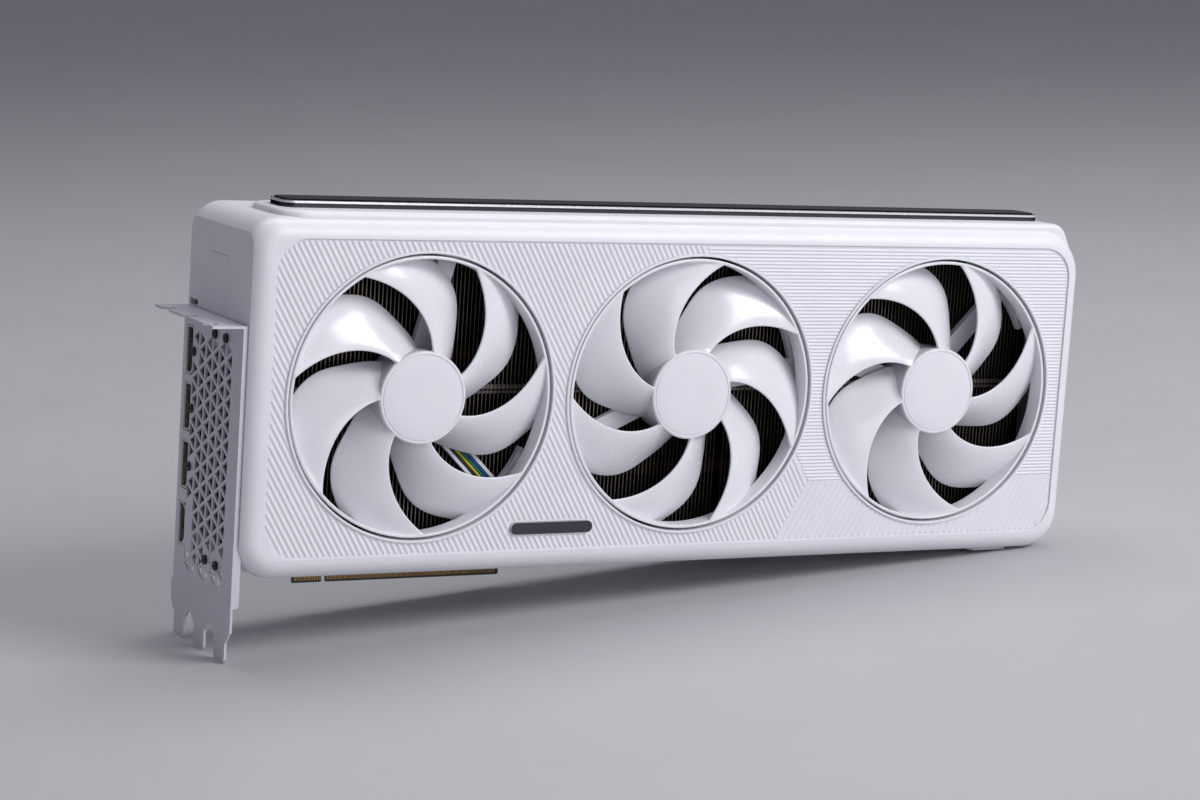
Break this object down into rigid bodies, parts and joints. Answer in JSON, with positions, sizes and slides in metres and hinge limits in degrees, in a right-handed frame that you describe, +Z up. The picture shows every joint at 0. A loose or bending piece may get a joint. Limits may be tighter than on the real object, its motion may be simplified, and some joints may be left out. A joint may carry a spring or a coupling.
{
  "type": "graphics card",
  "caption": "Long three-slot graphics card in a white rounded shroud with ribbed face, swept-blade cooling fans, vented slot bracket, display sockets and a mirror strip on top.",
  "frame": {"origin": "on the outer face of the slot bracket, at the component face of the circuit board and the level of the bottom of the edge contacts", "axes": "+X along the card away from the bracket, +Y through the card's thickness from the fans to the rear cover, +Z up away from the edge contacts"},
  "size_m": [0.363, 0.0649, 0.163],
  "materials": {
    "bracket_steel": "satin light grey powder coat over steel",
    "black_steel": "black oxide",
    "port_shell": "nickel-plated steel",
    "board": "black solder mask",
    "gold": "gold plate",
    "substrate": "dark green laminate",
    "silicon": "polished silicon",
    "chip_package": "moulded epoxy",
    "pad": "soft silicone",
    "choke": "pressed ferrite",
    "capacitor_can": "aluminium can",
    "nylon": "natural nylon",
    "black_nylon": "black nylon",
    "nickel_plate": "nickel-plated copper",
    "pipe": "copper",
    "fins": "dark coated aluminium with bright cut edges",
    "plain_steel": "zinc-plated steel",
    "white_shell": "satin white",
    "white_blade": "gloss white",
    "white_cap": "satin white",
    "white_frame": "satin white",
    "magnet": "bonded ferrite",
    "bearing_brass": "sintered bronze",
    "core_steel": "laminated steel",
    "wire": "PVC-covered wires in four colours",
    "bright_trim": "bright plated edge",
    "mirror": "black mirror",
    "badge": "dark grey plate with a light rim",
    "foot": "soft light pad"
  },
  "bodies": {
    "root": {"io_bracket": "bracket_steel", "bracket_screws": "black_steel", "displayport_1": "port_shell", "displayport_2": "port_shell", "displayport_3": "port_shell", "hdmi_port": "port_shell", "port_screws": "black_steel", "circuit_board": "board", "edge_contacts": "gold", "gpu_substrate": "substrate", "gpu_die": "silicon", "memory_chips": "chip_package", "thermal_pads": "pad", "power_chokes": "choke", "power_stages": "chip_package", "capacitors": "capacitor_can", "fan_sockets": "nylon", "power_socket": "black_nylon", "cold_plate": "nickel_plate", "heat_pipes_low": "pipe", "heat_pipes_high": "pipe", "fin_stack_main": "fins", "fin_stack_end": "fins", "mounting_frame": "plain_steel", "retention_bracket": "plain_steel", "retention_screws": "plain_steel", "front_shroud": "white_shell", "back_cover": "white_shell", "cover_screws": "black_steel", "strip_bezel": "bright_trim", "mirror_strip": "mirror", "badge_plate": "badge", "foot_pad": "foot", "fan_screws": "plain_steel", "fan_left_bearing": "bearing_brass", "fan_left_stator": "core_steel", "fan_left_frame": "white_frame", "fan_left_lead": "wire", "fan_middle_bearing": "bearing_brass", "fan_middle_stator": "core_steel", "fan_middle_frame": "white_frame", "fan_middle_lead": "wire", "fan_right_bearing": "bearing_brass", "fan_right_stator": "core_steel", "fan_right_frame": "white_frame", "fan_right_lead": "wire"},
    "fan_left": {"fan_left_rotor": "white_blade", "fan_left_cap": "white_cap", "fan_left_shaft": "plain_steel", "fan_left_magnet": "magnet"},
    "fan_middle": {"fan_middle_rotor": "white_blade", "fan_middle_cap": "white_cap", "fan_middle_shaft": "plain_steel", "fan_middle_magnet": "magnet"},
    "fan_right": {"fan_right_rotor": "white_blade", "fan_right_cap": "white_cap", "fan_right_shaft": "plain_steel", "fan_right_magnet": "magnet"}
  },
  "joints": [
    {"name": "fan_left_spin", "type": "hinge", "parent": "root", "child": "fan_left", "pos_m": [0.0675, -0.0567, 0.0787], "axis": [0, -1, 0], "continuous": true},
    {"name": "fan_middle_spin", "type": "hinge", "parent": "root", "child": "fan_middle", "pos_m": [0.1771, -0.0567, 0.0787], "axis": [0, -1, 0], "continuous": true},
    {"name": "fan_right_spin", "type": "hinge", "parent": "root", "child": "fan_right", "pos_m": [0.2867, -0.0567, 0.0787], "axis": [0, -1, 0], "continuous": true}
  ]
}
